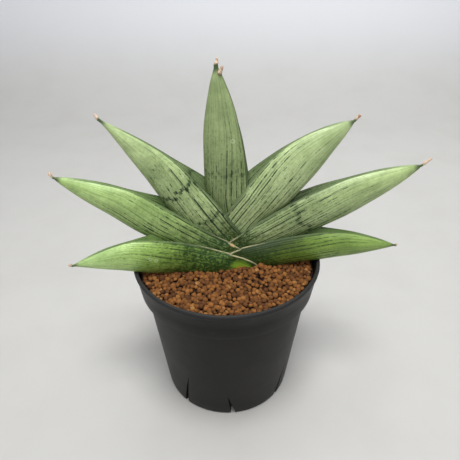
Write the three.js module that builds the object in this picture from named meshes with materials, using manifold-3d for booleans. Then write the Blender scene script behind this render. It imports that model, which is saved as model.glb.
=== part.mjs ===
// Potted snake plant: seven thick two-ranked leaves that clasp each other at
// the base, their rhizome and roots, a bed of coarse granules and a nursery pot.
// Millimetres. Origin at the centre of the pot's flat underside, +Z up,
// +X to the right and -Y to the front. The leaves fan out along X.
import * as THREE from 'three';
import { mergeVertices } from 'three/addons/utils/BufferGeometryUtils.js';
import Module from 'manifold-3d';

const wasm = await Module();
wasm.setup();

// ---------------------------------------------------------------- sizes
// Pot
const potHeight = 102.8;
const rimRadius = 60;          // outside of the rim
const baseRadius = 44;         // outside, at the floor
const collarHeight = 20;       // the wider band below the rim
const collarStep = 3.2;        // how far the band overhangs the body
const collarTaper = 2.6;       // the band narrows by this much going down
const wallThickness = 1.8;
const floorThickness = 2.4;
const lipHeight = 3;           // thickened edge at the top
const lipThickness = 0.7;      // how far it stands out of the band
const footRadius = 20;         // flat centre that the pot rests on
const grooveDepth = 0.9;       // drainage grooves under the floor
const slotCount = 8;
const slotWidth = 2.8;         // at the floor
const slotHeights = [20, 32];  // the slots are low and high in turn, and pointed
const slotLeans = [-3.8, 6.4]; // how far sideways each one's point is from its foot
const slotStart = 4.5;         // degrees from the front to the first slot
// Granule bed
const bedDrop = 5;             // below the rim, at the wall
const bedMound = 1.6;          // higher than that in the middle
const grainRelief = 0.7;       // unevenness of its top
const clearance = 0.35;        // between pieces that touch
const rimGap = 0.05;           // between the rim and a leaf that lies across it
// Rhizome and roots
const stemRadius = 4.2;
const stemLength = 34;
const stemDepth = 1.8;         // of its top, below the bed's edge
const rootCount = 6;
const rootRadius = 1.5;
const rootWallGap = 11;        // from the longest root's end to the pot's wall
const rootFloorGap = 13.6;     // from a root's end to the pot's floor
// Leaves
const firstNode = 5.8;         // of the innermost leaf, below the bed's edge
const nodeSpacing = 1.5;       // each leaf grows from this much lower on the stem
const sheathWall = 1.6;        // of a leaf where it clasps the next one
const innerWidth = 5.6;        // width of the innermost leaf's base
const channelWidth = 11.5;       // between the margins, above the sheath
const spineLength = 4.5;
const spineRadius = 0.9;       // where it leaves the green tip
const spineTurn = 22;          // degrees that a spine turns up from its leaf

// One entry a leaf, from the innermost to the outermost. side: -1 left,
// +1 right. x, lift: where the middle of the blade leaves the crown, lift from
// the bed's edge. lean: degrees from upright there and at the tip. depth: across
// the blade, keel to margin. belly: thickness. widest: share of the length at
// which it is deepest. neck: share of the depth at the crown. sway: how far the
// tip stands out of the fan (- is to the front). foot: length of its bend above
// the node. turn: of its spine. twin: length of a second spine.
const leaves = [
  { name: 'leaf_centre', side: -1, x: 4.6, lift: 5.2, lean: [4.6, 4.5], length: 117,
    depth: 26, belly: 12, widest: 0.38, neck: 0.5, sway: 0, foot: 8,
    turn: 0, twin: 4.5 },
  { name: 'leaf_upper_right', side: 1, x: -1.1, lift: 14, lean: [29.3, 55.8], length: 108,
    depth: 29.2, belly: 13, widest: 0.47, neck: 0.37, sway: 0, foot: 12 },
  { name: 'leaf_upper_left', side: -1, x: 4.5, lift: 3.4, lean: [25.2, 52], length: 117,
    depth: 25, belly: 13, widest: 0.35, neck: 0.55, sway: -5, foot: 12 },
  { name: 'leaf_middle_right', side: 1, x: -1.6, lift: 7.3, lean: [59.6, 66], length: 130,
    depth: 26.4, belly: 13.5, widest: 0.43, neck: 0.58, sway: 0, foot: 12 },
  { name: 'leaf_middle_left', side: -1, x: 5, lift: 3.8, lean: [54.6, 63], length: 116.6,
    depth: 25.8, belly: 14, widest: 0.4, neck: 0.65, sway: -12, foot: 12 },
  { name: 'leaf_lower_right', side: 1, x: 11.6, lift: 5.6, lean: [72.7, 89.8], length: 93,
    depth: 22.4, belly: 14, widest: 0.37, neck: 0.99, sway: -10, foot: 16 },
  { name: 'leaf_lower_left', side: -1, x: 8.6, lift: 0.6, lean: [67, 93.8], length: 101,
    depth: 26, belly: 14.5, widest: 0.43, neck: 0.76, sway: -26, foot: 13 },
];
const ringPoints = 14;         // around a leaf
const footStations = 4;        // along its foot
const bladeStations = 14;      // along its blade

// --------------------------------------------------------------- solids
function toSolid(geometry) {
  const bare = geometry.clone();
  bare.deleteAttribute('normal');
  bare.deleteAttribute('uv');
  const merged = mergeVertices(bare, 1e-4);
  return new wasm.Manifold(new wasm.Mesh({
    numProp: 3,
    vertProperties: new Float32Array(merged.attributes.position.array),
    triVerts: new Uint32Array(merged.index.array),
  }));
}

function toGeometry(solid) {
  const mesh = solid.getMesh();
  const geometry = new THREE.BufferGeometry();
  geometry.setAttribute('position', new THREE.BufferAttribute(mesh.vertProperties, 3));
  geometry.setIndex(new THREE.BufferAttribute(mesh.triVerts, 1));
  geometry.computeVertexNormals();
  return geometry;
}

// The largest separate body of a solid, without the crumbs that a cut leaves
function largestBody(solid) {
  return solid.decompose().reduce((a, b) => (b.volume() > a.volume() ? b : a));
}

// A lathe turns about its own Y axis, so its profile's height becomes Z
function lathe(profile, segments) {
  const points = profile.map(([r, z]) => new THREE.Vector2(r, z));
  return toSolid(new THREE.LatheGeometry(points, segments).rotateX(Math.PI / 2));
}

const rad = THREE.MathUtils.degToRad;
const smooth = (x) => THREE.MathUtils.smoothstep(x, 0, 1);

// ------------------------------------------------------------------ pot
const collarBottom = potHeight - collarHeight;
const bandTop = rimRadius - lipThickness;
const bandBottom = bandTop - collarTaper;
const bodyTop = bandBottom - collarStep;
const bedTop = potHeight - bedDrop;

// Outside radius of the tapered body at height z
const bodyRadius = (z) => baseRadius + (bodyTop - baseRadius) * z / collarBottom;
// Inside radius of the pot at height z
function innerRadius(z) {
  const ledge = collarBottom + wallThickness;
  if (z < ledge) return bodyRadius(Math.min(z, collarBottom)) - wallThickness;
  return THREE.MathUtils.lerp(bandBottom, bandTop, (z - ledge) / (potHeight - ledge)) - wallThickness;
}

function buildPot() {
  const ledge = collarBottom + wallThickness;
  const edge = 0.5;            // rounding of the rim and the floor's corner
  const shell = lathe([
    [0, 0], [baseRadius - 1.2, 0], [baseRadius, 1.2],
    [bodyTop, collarBottom], [bandBottom - edge, collarBottom], [bandBottom, collarBottom + edge],
    [bandTop, potHeight - lipHeight], [rimRadius, potHeight - lipHeight + lipThickness],
    [rimRadius, potHeight - edge], [rimRadius - edge, potHeight],
    [bandTop - wallThickness + edge, potHeight], [bandTop - wallThickness, potHeight - edge],
    [innerRadius(ledge + 0.01), ledge + 0.01], [bodyTop - wallThickness, ledge - 0.3],
    [innerRadius(floorThickness), floorThickness], [0, floorThickness],
  ], 56);
  let pot = shell;
  for (let i = 0; i < slotCount; i++) {
    const turn = rad(slotStart + i * 360 / slotCount);
    // A leaning wedge through the wall, seen from outside
    const outline = new THREE.Shape([
      new THREE.Vector2(-slotWidth / 2, -1),
      new THREE.Vector2(slotWidth / 2, -1),
      new THREE.Vector2(slotWidth / 2, floorThickness),
      new THREE.Vector2(slotLeans[i % 2], slotHeights[i % 2]),
      new THREE.Vector2(-slotWidth / 2, floorThickness),
    ]);
    const reach = 12;
    const wedge = new THREE.ExtrudeGeometry(outline, { depth: reach, bevelEnabled: false })
      .translate(0, 0, baseRadius - reach / 2)
      .rotateX(Math.PI / 2)
      .rotateZ(turn);
    // A shallow groove under the floor leads water to the slot
    const length = baseRadius - footRadius;
    const groove = new THREE.BoxGeometry(slotWidth, length + 2, grooveDepth * 2)
      .translate(0, -(footRadius + length / 2 + 1), 0)
      .rotateZ(turn);
    pot = pot.subtract(toSolid(wedge)).subtract(toSolid(groove));
  }
  return largestBody(pot);
}

// --------------------------------------------------------------- leaves
// Middle line of a leaf: upright from its node, a foot that bends to the lean
// of the blade, then the blade, whose lean changes evenly to the tip.
function leafStations(leaf) {
  const [start, end] = leaf.lean.map(rad);
  const stations = [];
  const step = (from, to, lean) => {
    const n = 24;
    let x = 0;
    let z = 0;
    for (let i = 0; i < n; i++) {
      const a = lean(from + (to - from) * (i + 0.5) / n);
      x += Math.sin(a) * (to - from) / n;
      z += Math.cos(a) * (to - from) / n;
    }
    return [x, z];
  };
  const footLean = (s) => start * (1 + s / leaf.foot);
  const bladeLean = (s) => start + (end - start) * s / leaf.length;
  for (let i = 0; i <= footStations; i++) {
    const s = -leaf.foot * (1 - i / footStations);
    const [x, z] = step(0, s, footLean);
    stations.push({ t: 0, x: leaf.x + leaf.side * x, z: leaf.z + z, lean: footLean(s) });
  }
  stations.unshift({ ...stations[0], z: leaf.node });
  for (let i = 1; i <= bladeStations; i++) {
    const t = (i / bladeStations) ** 0.92;
    const [x, z] = step(0, t * leaf.length, bladeLean);
    stations.push({
      t, x: leaf.x + leaf.side * x, z: leaf.z + z, lean: bladeLean(t * leaf.length),
    });
  }
  return stations;
}

// Depth, thickness and channel of a leaf at share t of its blade
function leafSection(leaf, baseWidth, t) {
  const rise = leaf.neck + (1 - leaf.neck) * Math.sin(Math.PI / 2 * Math.min(t / leaf.widest, 1));
  const past = THREE.MathUtils.clamp((t - leaf.widest) / (1 - leaf.widest), 0, 1);
  const fall = Math.max((1 - past ** 2) ** 0.75, 0.06);
  const depth = leaf.depth * rise * fall;
  const swell = smooth(t / 0.45);
  const full = baseWidth + (leaf.belly - baseWidth) * swell;
  const width = Math.min(full * fall ** 0.9, depth * 1.05 + 8 * (1 - t));
  const open = THREE.MathUtils.lerp(baseWidth - 2 * sheathWall, channelWidth, smooth(t / 0.28))
    * (1 - smooth((t - 0.24) / 0.56));
  const mouth = THREE.MathUtils.clamp(open, 0.12 * width, 0.86 * width);
  const valley = Math.min(0.95 * mouth, 0.5 * depth) * (1 - smooth((t - 0.6) / 0.3)) + 0.02 * depth;
  return { depth, width, mouth, valley };
}

const baseWidthOf = (order) => innerWidth + 2 * sheathWall * order;

// Height at which a blade leaves the crown: its own lift, or more where its keel
// would otherwise reach below the rim that it lies across
function crownHeight(leaf, order) {
  const blade = leafStations({ ...leaf, z: 0 }).slice(footStations + 1);
  const keel = blade.map(({ t, x, z, lean }) => {
    const half = leafSection(leaf, baseWidthOf(order), t).depth / 2;
    return new THREE.Vector3(
      x + leaf.side * Math.cos(lean) * half, leaf.sway * t ** 1.2, z - Math.sin(lean) * half);
  });
  const rimInside = bandTop - wallThickness;
  const steps = 20;            // between two stations
  let height = bedTop + leaf.lift;
  for (let i = 0; i < (keel.length - 1) * steps; i++) {
    const place = Math.floor(i / steps);
    const point = keel[place].clone().lerp(keel[place + 1], (i % steps) / steps);
    const r = Math.hypot(point.x, point.y);
    if (r < rimInside - 0.5 || r > rimRadius + 0.5) continue;
    height = Math.max(height, potHeight + rimGap - point.z);
  }
  return height;
}

// Outline of a section as [across, sideways] points, from the front margin
// around the keel to the back margin and back through the channel
function leafRing({ depth, width, mouth, valley }, grow, filled) {
  const points = [];
  const outer = ringPoints - 3;
  const last = Math.PI - Math.asin(Math.min(1, mouth / width));
  for (let i = 0; i < outer; i++) {
    const a = -last + 2 * last * i / (outer - 1);
    const across = -depth / 2 + depth * (1 - Math.cos(a)) / (1 - Math.cos(last));
    points.push([across * (1 + 2 * grow / depth), width / 2 * Math.sin(a) * (1 + 2 * grow / width)]);
  }
  const top = points[0][0];
  const half = -points[0][1];
  const drop = filled ? 0.02 : valley;
  points.push([top - drop * 0.55, half * 0.5], [top - drop, 0], [top - drop * 0.55, -half * 0.5]);
  return points;
}

leaves.forEach((leaf, order) => {
  leaf.node = bedTop - firstNode - nodeSpacing * order;
  leaf.z = crownHeight(leaf, order);
});

// Front and back of the leaf at a place in the fan's plane, or null beside it
function leafReach(order, x, z) {
  const leaf = leaves[order];
  const stations = leafStations(leaf);
  const local = ({ x: sx, z: sz, lean }) => {
    const dx = (x - sx) * leaf.side;
    const dz = z - sz;
    return [dx * Math.sin(lean) + dz * Math.cos(lean), dz * Math.sin(lean) - dx * Math.cos(lean)];
  };
  for (let j = 0; j + 1 < stations.length; j++) {
    const [along, across] = local(stations[j]);
    const [next, nextAcross] = local(stations[j + 1]);
    if (along < 0 || next > 0) continue;
    const f = along / Math.max(along - next, 1e-6);
    const u = across + (nextAcross - across) * f;
    const t = stations[j].t + (stations[j + 1].t - stations[j].t) * f;
    const { depth, width, mouth } = leafSection(leaf, baseWidthOf(order), t);
    if (Math.abs(u) > depth / 2 + clearance) continue;
    const last = Math.PI - Math.asin(Math.min(1, mouth / width));
    const cos = 1 - THREE.MathUtils.clamp(u / depth + 0.5, 0, 1) * (1 - Math.cos(last));
    const half = width / 2 * Math.sqrt(Math.max(0, 1 - cos * cos));
    const middle = leaf.sway * t ** 1.2;
    return [drape(order, x, middle - half, z, middle, t), drape(order, x, middle + half, z, middle, t)];
  }
  return null;
}

// A wall of the leaf is pushed out where it clasps the leaves inside it, which
// it does along the lower part of its blade
function drape(order, x, y, z, middle, t) {
  let out = y;
  const room = clearance + sheathWall * 0.8;
  for (let inner = 0; inner < order; inner++) {
    const reach = leafReach(inner, x, z);
    if (!reach) continue;
    out = y < middle ? Math.min(out, reach[0] - room) : Math.max(out, reach[1] + room);
  }
  return THREE.MathUtils.lerp(out, y, smooth((t - 0.3) / 0.2));
}

// The closed skin of a cylinder is laid over the leaf's sections. grow makes it
// larger all round and fills the channel, for the clearance in its neighbours.
function leafBody(leaf, order, grow = 0) {
  const baseWidth = baseWidthOf(order);
  const stations = leafStations(leaf);
  const rows = stations.length - 1;
  const sections = stations.map(({ t }) => leafSection(leaf, baseWidth, t));
  const plain = sections.map((section) => leafRing(section, 0, false));
  const grown = sections.map((section) => leafRing(section, grow, grow > 0));
  const skin = new THREE.CylinderGeometry(1, 1, 1, ringPoints, rows);
  const position = skin.attributes.position;
  for (let i = 0; i < position.count; i++) {
    const row = Math.round((position.getY(i) + 0.5) * rows);
    const radius = Math.hypot(position.getX(i), position.getZ(i));
    const turn = Math.atan2(position.getX(i), position.getZ(i)) / (2 * Math.PI);
    const step = Math.round((turn + 1) * ringPoints) % ringPoints;
    const k = leaf.side > 0 ? step : (ringPoints - step) % ringPoints;
    const { t, x, z, lean } = stations[row];
    const middle = leaf.sway * t ** 1.2;
    const place = ([across, sideways]) => [
      x - leaf.side * Math.cos(lean) * across, middle + sideways, z + Math.sin(lean) * across];
    if (radius < 0.5) {
      const [cx, cy, cz] = place([-0.25 * sections[row].depth, 0]);
      position.setXYZ(i, cx, cy, cz - (row === 0 ? grow : 0));
      continue;
    }
    const [px, py, pz] = place(plain[row][k]);
    const [gx, gy, gz] = place(grown[row][k]);
    const draped = k < ringPoints - 3 && py !== middle ? drape(order, px, py, pz, middle, t) : py;
    position.setXYZ(i, gx, draped === py ? gy : draped + grow * Math.sign(draped - middle),
      gz - (row === 0 ? grow : 0));
  }
  return toSolid(skin);
}

// The dry spine at a leaf's tip, as a cone that continues the blade. The centre
// leaf has a second, smaller one where its channel closes.
function leafSpines(leaf, grow = 0) {
  const rooted = 1.5;          // of the cone, inside the blade
  const cone = ({ x, z, lean }, length, across, turn) => toSolid(
    new THREE.CylinderGeometry(0.15 + grow, spineRadius + grow, length + rooted, 8)
      .translate(0, (length - rooted) / 2, 0)
      .rotateX(Math.PI / 2)
      .rotateY(leaf.side * (lean - rad(turn)))
      .translate(x - leaf.side * Math.cos(lean) * across, leaf.sway, z + Math.sin(lean) * across));
  const stations = leafStations(leaf);
  const tip = cone(stations.at(-1), spineLength, 0, leaf.turn ?? spineTurn);
  if (!leaf.twin) return tip;
  const { depth } = leafSection(leaf, innerWidth, stations.at(-2).t);
  return tip.add(cone(stations.at(-2), leaf.twin, depth * 0.36, spineTurn));
}

// -------------------------------------------------------- rhizome, roots
function buildRhizome(grow = 0) {
  const stemTop = bedTop - stemDepth;
  const stemBottom = stemTop - stemLength;
  const rootEnd = floorThickness + rootFloorGap;
  const rootReach = innerRadius(rootEnd) - rootWallGap;
  let solid = lathe([
    [0, stemBottom - grow], [stemRadius * 0.9 + grow, stemBottom + 1],
    [stemRadius * 1.5 + grow, stemBottom + 9], [stemRadius + grow, leaves.at(-1).node],
    [stemRadius * 0.55 + grow, stemTop - 3], [0, stemTop + grow],
  ], 12);
  for (let i = 0; i < rootCount; i++) {
    const turn = i * 2.4 + 0.5;
    const reach = rootReach * (0.8 + 0.2 * Math.sin(i * 5.1));
    const along = (r, z, bend) => new THREE.Vector3(
      r * Math.cos(turn + bend), r * Math.sin(turn + bend), z);
    const first = stemBottom + 4 + (i % 3) * 2;
    const path = new THREE.CatmullRomCurve3([
      along(1, first, 0), along(reach * 0.45, first - 9, 0.1),
      along(reach * 0.85, (first + rootEnd) / 2, 0.25), along(reach, rootEnd, 0.2),
    ]);
    const outline = new THREE.Shape().absarc(0, 0, rootRadius + grow, 0, 2 * Math.PI);
    const root = new THREE.ExtrudeGeometry(outline, {
      steps: 7, extrudePath: path, curveSegments: 3, bevelEnabled: false,
    });
    solid = solid.add(toSolid(root));
  }
  return solid;
}

// ------------------------------------------------------------- substrate
// Height of the granules' top at (x, y): a low mound with an uneven surface
function bedHeight(x, y) {
  const r = Math.hypot(x, y) / rimRadius;
  const grain = Math.sin(x * 0.61 + 1.3 * Math.sin(y * 0.37)) * Math.sin(y * 0.55 + x * 0.13);
  return bedTop + bedMound * (1 - r * r) + grainRelief * grain;
}

function buildBed() {
  const rings = 8;
  const rows = 5;
  const skin = new THREE.CylinderGeometry(1, 1, 1, 40, rows + rings, true);
  const position = skin.attributes.position;
  const bottom = floorThickness + clearance;
  const ledge = collarBottom + wallThickness;
  const side = [
    [innerRadius(bottom) - clearance, bottom],
    [bodyTop - wallThickness - clearance, ledge],
    [innerRadius(ledge + clearance) - clearance, ledge + clearance + 0.1],
  ];
  for (let i = 0; i < position.count; i++) {
    const row = Math.round((position.getY(i) + 0.5) * (rows + rings));
    const turn = Math.atan2(position.getX(i), position.getZ(i));
    let r;
    let z;
    if (row === 0) { r = 0; z = bottom; }
    else if (row < rows - 1) [r, z] = side[row - 1];
    else {
      r = (innerRadius(bedTop) - clearance) * (1 - (row - rows + 1) / (rings + 1));
      z = null;
    }
    const x = r * Math.sin(turn);
    const y = -r * Math.cos(turn);
    position.setXYZ(i, x, y, z ?? bedHeight(x, y));
  }
  return toSolid(skin);
}

// -------------------------------------------------------------- assembly
const rhizome = buildRhizome();
const rhizomeRoom = buildRhizome(clearance);
const leafRooms = leaves.map((leaf, i) => leafBody(leaf, i, clearance).add(leafSpines(leaf, clearance)));
const leafSolids = leaves.map((leaf, i) => {
  let solid = leafBody(leaf, i).add(leafSpines(leaf)).subtract(rhizomeRoom);
  for (let inner = 0; inner < i; inner++) solid = solid.subtract(leafRooms[inner]);
  return largestBody(solid);
});
const pot = buildPot();
let bed = buildBed().subtract(rhizomeRoom);
for (const room of leafRooms) bed = bed.subtract(room);

const group = new THREE.Group();
function addPart(name, solid, color, roughness) {
  const material = new THREE.MeshStandardMaterial({ color, roughness, metalness: 0 });
  const mesh = new THREE.Mesh(toGeometry(solid), material);
  mesh.name = name;
  group.add(mesh);
}
addPart('pot', pot, 0x2b2b2d, 0.45);
addPart('substrate', largestBody(bed), 0x8a5030, 0.95);
addPart('rhizome', rhizome, 0xd8b48a, 0.7);
leaves.forEach((leaf, i) => addPart(leaf.name, leafSolids[i], 0x8fa06e, 0.5));

export default group;
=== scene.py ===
# %% [markdown]
# # A potted snake plant
# This lesson builds a young, thick-leaved snake plant in a round nursery pot. The solids
# of the plant already exist as a plain engineering model, the frame. Each piece is
# modelled again here with a finer surface, in the same place, and then painted with
# nodes. Blender works in metres, +Z is up and the front of the plant looks along -Y.
# Sizes below are written in millimetres, which suit a plant pot, and MM turns them
# into metres.

# %% Load the frame
import math
import random

import bpy
import numpy as np
from mathutils import Euler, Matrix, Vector
from mathutils.bvhtree import BVHTree


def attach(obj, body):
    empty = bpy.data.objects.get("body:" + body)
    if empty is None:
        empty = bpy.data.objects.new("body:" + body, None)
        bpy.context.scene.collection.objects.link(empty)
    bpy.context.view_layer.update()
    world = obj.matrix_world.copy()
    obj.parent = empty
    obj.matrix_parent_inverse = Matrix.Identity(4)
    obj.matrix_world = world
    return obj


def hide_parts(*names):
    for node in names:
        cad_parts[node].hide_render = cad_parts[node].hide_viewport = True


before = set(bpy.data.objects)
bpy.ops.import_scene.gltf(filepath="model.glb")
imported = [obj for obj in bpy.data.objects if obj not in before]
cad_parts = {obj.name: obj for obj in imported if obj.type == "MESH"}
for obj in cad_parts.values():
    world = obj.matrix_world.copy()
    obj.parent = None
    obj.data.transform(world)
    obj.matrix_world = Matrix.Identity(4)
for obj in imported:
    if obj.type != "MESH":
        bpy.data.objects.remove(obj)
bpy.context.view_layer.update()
MM = 0.001
print("frame nodes:", sorted(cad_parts))

# %% [markdown]
# Two small habits keep operators safe. An operator works on everything that is
# selected, so nothing may stay selected from the step before. And a finished piece has
# its object at the origin with its place in its mesh, so that patterns and exports agree.
# Numbers that the paint needs, one for each vertex, are stored as attributes.

# %% Small helpers for operators
def start_clean():
    if bpy.context.object and bpy.context.object.mode != "OBJECT":
        bpy.ops.object.mode_set(mode="OBJECT")
    bpy.ops.object.select_all(action="DESELECT")


def pick(obj):
    start_clean()
    obj.select_set(True)
    bpy.context.view_layer.objects.active = obj
    return obj


def settle(obj):
    """Moves the object's place, turn and scale into its mesh."""
    pick(obj)
    bpy.ops.object.transform_apply(location=True, rotation=True, scale=True)
    return obj


def apply_modifiers(obj):
    pick(obj)
    for modifier in list(obj.modifiers):
        bpy.ops.object.modifier_apply(modifier=modifier.name)


def close_shell():
    """Turns every face of the mesh in edit mode outwards, and leaves edit mode."""
    bpy.ops.mesh.select_all(action="SELECT")
    bpy.ops.mesh.normals_make_consistent(inside=False)
    bpy.ops.object.mode_set(mode="OBJECT")


def store(mesh, name, values):
    layer = mesh.attributes.new(name, "FLOAT", "POINT")
    layer.data.foreach_set("value", np.full(len(mesh.vertices), values))


def tell(obj):
    corners = np.array([v.co for v in obj.data.vertices]) / MM
    low, high = corners.min(0), corners.max(0)
    print(f"{obj.name}: {len(obj.data.polygons)} faces,"
          f" {np.round(low, 1)} to {np.round(high, 1)} mm")


def hand_over(obj, node):
    """The piece stands for a node of the frame, whose own solid is hidden."""
    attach(obj, "root")
    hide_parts(node)
    tell(obj)


# %% [markdown]
# ## The leaves' form
# A leaf of this plant is a thick, slightly flattened blade with a keel below and a
# channel above, and its base is a sheath that clasps the next leaf in. It could be
# sculpted, but seven leaves that must fit round each other are easier to describe:
# each has a middle line that bends from upright to its lean, and a section that swells
# and then narrows to a spine. The numbers began as the frame's own, and then each blade
# was let out, taken in or leaned over by a few millimetres or degrees, as no two grow
# alike.
#
# A leaf leans to its side, -1 left and 1 right. Its blade starts at x and z, and its lean
# from upright, in degrees, changes evenly from the first to the second. Depth is from
# keel to margins and belly is from front to back, both at their greatest. The blade is
# deepest at the share of its length called widest, and neck is its depth at the start,
# as a share of that. Taper, curve and blunt shape its fall to the tip. Sway is how far
# the tip comes forward, and tilt is how much higher the back margin stands. The foot
# goes down to its node on the rhizome. Spine and turn are the spine's length and the
# degrees that it turns up, and twin is a second, shorter spine.

# %% The seven leaves, from the innermost to the outermost
LEAVES = [
    dict(name="leaf_centre", side=-1, x=4.6, z=103, lean=(4.6, 4.5), length=118, depth=26,
         belly=12, node=92, widest=0.38, neck=0.5, sway=0, foot=8, turn=0, twin=3.2,
         spine=3.0, blunt=0.09, taper=0.8, tilt=0),
    dict(name="leaf_upper_right", side=1, x=-1.1, z=111.8, lean=(30.2, 54.6), length=108,
         depth=29.2, belly=13, node=90.5, widest=0.43, neck=0.62, sway=0, foot=12, spine=3.4,
         turn=14, taper=0.88, tilt=0.2),
    dict(name="leaf_upper_left", side=-1, x=4.9, z=101.6, lean=(27.6, 48.9), length=118.4,
         depth=30.2, belly=13, node=89, widest=0.26, neck=0.97, sway=-5, foot=12, spine=2.2,
         turn=8, taper=0.98, curve=1.65, tilt=0.35),
    dict(name="leaf_middle_right", side=1, x=-1.6, z=104.6, lean=(59.6, 66), length=130,
         depth=26.6, belly=13.5, node=87.5, widest=0.42, neck=0.58, sway=0, foot=12, spine=6.2,
         turn=20, taper=0.8, tilt=0.1),
    dict(name="leaf_middle_left", side=-1, x=5, z=101.6, lean=(54.6, 62.5), length=118.6,
         depth=25.8, belly=14, node=86, widest=0.36, neck=0.86, sway=-12, foot=12, spine=2.8,
         turn=22, taper=0.82, tilt=0.42),
    dict(name="leaf_lower_right", side=1, x=11.6, z=102.6, lean=(72.7, 92), length=94,
         depth=22.6, belly=14.5, node=84.5, widest=0.36, neck=0.99, sway=-10, foot=16, spine=1.4,
         turn=5, taper=0.92, tilt=0.15),
    dict(name="leaf_lower_left", side=-1, x=8.6, z=97.4, lean=(67.2, 94.8), length=101.5,
         depth=26.4, belly=14.8, node=83, widest=0.41, neck=0.76, sway=-26, foot=13, spine=2.8,
         turn=8, taper=0.98, tilt=0.38),
]
SHEATH_WALL = 1.6       # of a leaf where it clasps the next one
INNER_WIDTH = 5.6       # of the innermost leaf's base
CHANNEL_WIDTH = 11.5    # between the margins, above the sheath
CLEARANCE = 0.35        # between pieces that touch
USUAL_CURVE = 2         # of the fall to the tip
USUAL_BLUNT = 0.055     # the share of the depth that is left at the tip
SPINE_RADIUS = 1.12     # dry and blunt at its end
SPINE_CROOK = 1.3       # how far a dry spine curls
print(len(LEAVES), "leaves")

# %% Middle line and section of a leaf
LINE_STEPS = 48         # short straight steps that add up to a bent line


def smooth(x):
    x = np.clip(x, 0, 1)
    return x * x * (3 - 2 * x)


def middle_line(leaf, shares):
    """x, z and lean at each share of the blade; shares below 0 are on the foot, where
    -1 is its lower end and -2 is the node that the leaf grows from."""
    start, end = (math.radians(a) for a in leaf["lean"])
    rows = []
    for share in shares:
        low = max(share, -1.0)
        reach = leaf["foot"] * low if share < 0 else leaf["length"] * share
        s = (np.arange(LINE_STEPS) + 0.5) / LINE_STEPS * reach
        lean = start * (1 + s / leaf["foot"]) if share < 0 else (
            start + (end - start) * s / leaf["length"])
        x = leaf["x"] + leaf["side"] * np.sin(lean).sum() * reach / LINE_STEPS
        z = leaf["z"] + np.cos(lean).sum() * reach / LINE_STEPS
        if share < -1:
            z += (leaf["node"] - z) * (-1 - share)
        at = start * (1 + low) if share < 0 else start + (end - start) * share
        rows.append((x, z, at))
    return np.array(rows)


def section(leaf, order, share):
    """Depth, thickness, mouth of the channel and its depth, at a share of the blade."""
    t = max(share, 0.0)
    base = INNER_WIDTH + 2 * SHEATH_WALL * order
    rise = leaf["neck"] + (1 - leaf["neck"]) * math.sin(math.pi / 2 * min(t / leaf["widest"], 1))
    past = min(max((t - leaf["widest"]) / (1 - leaf["widest"]), 0), 1)
    fall = (1 - past ** leaf.get("curve", USUAL_CURVE)) ** leaf["taper"]
    fall = max(fall, leaf.get("blunt", USUAL_BLUNT))
    depth = leaf["depth"] * rise * fall
    full = base + (leaf["belly"] - base) * smooth(t / 0.45)
    width = min(full * fall ** 0.9, depth * 1.05 + 8 * (1 - t))
    mouth = base - 2 * SHEATH_WALL + (CHANNEL_WIDTH - base + 2 * SHEATH_WALL) * smooth(t / 0.28)
    mouth = min(max(mouth * (1 - smooth((t - 0.24) / 0.56)), 0.12 * width), 0.86 * width)
    valley = min(0.95 * mouth, 0.5 * depth) * (1 - smooth((t - 0.6) / 0.3)) + 0.02 * depth
    return depth, width, mouth, valley


def sway_at(leaf, share):
    return leaf["sway"] * max(share, 0) ** 1.2


def margin_turn(width, mouth):
    """Angle from the keel round to a margin, where the mouth of the channel starts."""
    return math.pi - math.asin(min(1, mouth / width))


for leaf in LEAVES:
    tip = middle_line(leaf, [1.0])[0]
    print(f"{leaf['name']}: tip at x {tip[0]:.0f}, y {leaf['sway']}, z {tip[1]:.0f} mm")

# %% [markdown]
# Where a leaf clasps the ones inside it, its walls bulge around them. This helper asks
# how far an inner leaf reaches to the front and to the back at a place in the fan, and
# the outer leaf's wall is then pushed out past that, as real sheaths are.

# %% How far a leaf reaches, and the draping of a sheath around it
REACH_SHARES = np.concatenate([[-2, -1], np.linspace(-0.75, 0, 4), np.linspace(0.04, 1, 25)])
REACH_LINES = [middle_line(leaf, REACH_SHARES) for leaf in LEAVES]


def reach_of(order, x, z):
    """Front and back of a leaf at x and z, or nothing where the leaf isn't."""
    leaf, line = LEAVES[order], REACH_LINES[order]
    dx = (x - line[:, 0]) * leaf["side"]
    dz = z - line[:, 1]
    along = dx * np.sin(line[:, 2]) + dz * np.cos(line[:, 2])
    across = dz * np.sin(line[:, 2]) - dx * np.cos(line[:, 2])
    for j in np.nonzero((along[:-1] >= 0) & (along[1:] <= 0))[0]:
        f = along[j] / max(along[j] - along[j + 1], 1e-6)
        u = across[j] + (across[j + 1] - across[j]) * f
        share = REACH_SHARES[j] + (REACH_SHARES[j + 1] - REACH_SHARES[j]) * f
        depth, width, mouth, _ = section(leaf, order, share)
        if abs(u) > depth / 2 + CLEARANCE:
            continue
        last = margin_turn(width, mouth)
        cos = 1 - min(max(u / depth + 0.5, 0), 1) * (1 - math.cos(last))
        half = width / 2 * math.sqrt(max(0, 1 - cos * cos))
        middle = sway_at(leaf, share)
        return drape(order, x, z, middle - half, middle + half, share)
    return None


def drape(order, x, z, front, back, share):
    """Pushes a leaf's front and back walls out past the leaves that it clasps."""
    room = CLEARANCE + SHEATH_WALL * 0.8
    out = [front, back]
    for inner in range(order):
        reach = reach_of(inner, x, z)
        if reach:
            out = [min(out[0], reach[0] - room), max(out[1], reach[1] + room)]
    free = smooth((share - 0.3) / 0.2)
    return out[0] + (front - out[0]) * free, out[1] + (back - out[1]) * free


print("front and back of the fourth leaf, 12 mm up its blade:",
      reach_of(3, *middle_line(LEAVES[3], [0.1])[0][:2]))

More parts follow.
